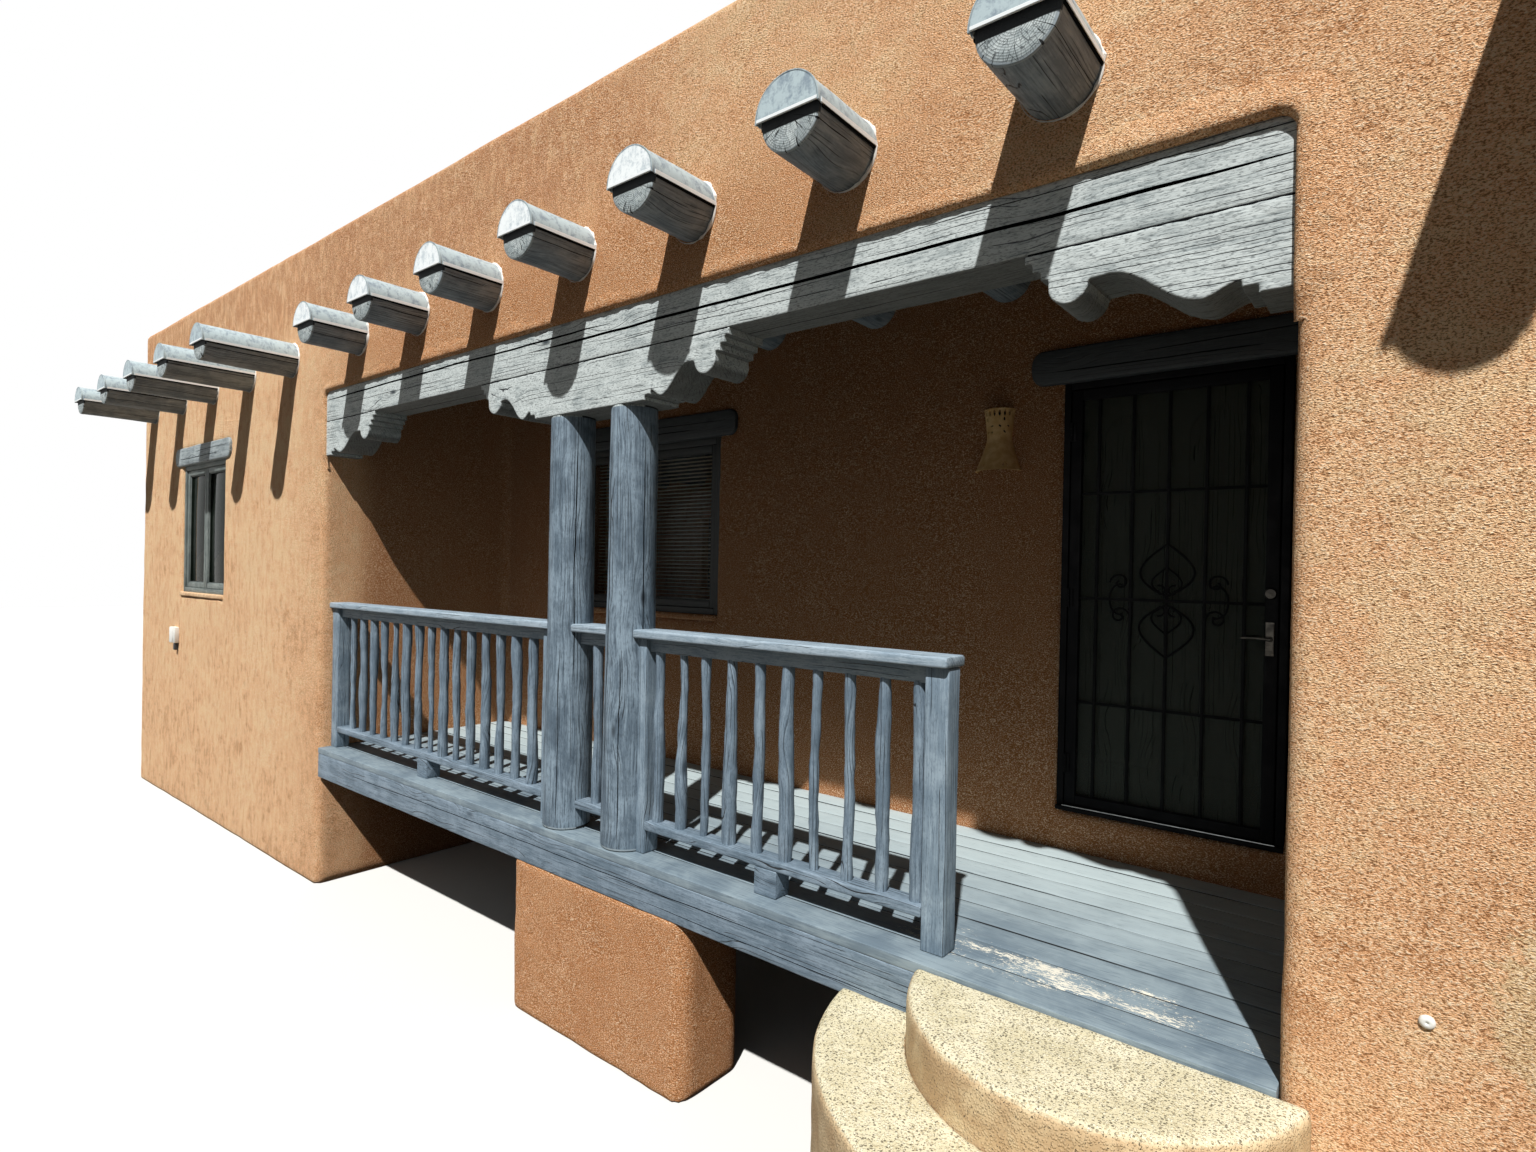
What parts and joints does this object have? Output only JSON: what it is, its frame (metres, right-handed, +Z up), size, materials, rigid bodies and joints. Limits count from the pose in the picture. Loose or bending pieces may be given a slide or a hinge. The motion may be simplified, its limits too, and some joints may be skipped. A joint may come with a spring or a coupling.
{
  "type": "single-storey adobe house with an inset porch",
  "caption": "Flat-roofed stuccoed adobe house: inset porch with carved beam, brackets, log posts and sapling railing, projecting roof logs, a screen door and an entry door.",
  "frame": {"origin": "on the ground under the middle of the object's bounding box, which is on the house's middle line", "axes": "+X along the facade to the right of someone who faces it, +Y from the facade into the house, +Z up"},
  "size_m": [14.816, 8.7688, 4.64],
  "materials": {
    "stucco": "sand-float earth-coloured stucco on adobe",
    "sill_stucco": "trowelled stucco",
    "floor_tile": "plain floor finish",
    "roof_membrane": "rolled roofing with mineral grit",
    "ceiling_timber": "painted boards",
    "painted_timber": "weathered blue-grey paint on wood",
    "cap_metal": "painted sheet metal, chalky",
    "concrete": "exposed aggregate concrete",
    "glass": "clear window glass",
    "blind": "satin enamel on thin slats",
    "dark_metal": "satin dark bronze paint",
    "bright_metal": "satin nickel",
    "door_paint": "satin paint",
    "clay": "unglazed clay"
  },
  "bodies": {
    "house": {"left_front_wall": "stucco", "right_front_wall": "stucco", "porch_head_wall": "stucco", "left_porch_wall": "stucco", "right_porch_wall": "stucco", "porch_back_wall": "stucco", "door_pier": "stucco", "door_head_wall": "stucco", "door_footing": "stucco", "left_side_wall": "stucco", "right_side_wall": "stucco", "back_wall": "stucco", "porch_pier": "stucco", "window_sills": "sill_stucco", "house_floor": "floor_tile", "roof_deck": "roof_membrane", "ceiling_boards": "ceiling_timber", "porch_vigas": "painted_timber", "left_vigas": "painted_timber", "right_vigas": "painted_timber", "porch_beam": "painted_timber", "left_bracket": "painted_timber", "right_bracket": "painted_timber", "post_bracket": "painted_timber", "log_posts": "painted_timber", "deck_boards": "painted_timber", "deck_frame": "painted_timber", "hand_rails": "painted_timber", "bottom_rails": "painted_timber", "rail_posts": "painted_timber", "balusters": "painted_timber", "wooden_lintels": "painted_timber", "window_frames": "painted_timber", "roof_spouts": "painted_timber", "viga_caps": "cap_metal", "upper_step": "concrete", "lower_step": "concrete", "window_glass": "glass", "window_blind": "blind", "door_frame": "dark_metal", "wall_light": "clay"},
    "screen_door": {"screen_door_frame": "dark_metal", "screen_door_grille": "dark_metal", "screen_door_lever": "bright_metal"},
    "entry_door": {"entry_door": "door_paint"}
  },
  "joints": [
    {"name": "screen_door_hinge", "type": "hinge", "parent": "house", "child": "screen_door", "pos_m": [1.839, -2.1365, 2.19], "axis": [0, 0, -1], "range_deg": [0, 105]},
    {"name": "entry_door_hinge", "type": "hinge", "parent": "house", "child": "entry_door", "pos_m": [1.839, -1.9345, 2.19], "axis": [0, 0, 1], "range_deg": [0, 95]}
  ]
}
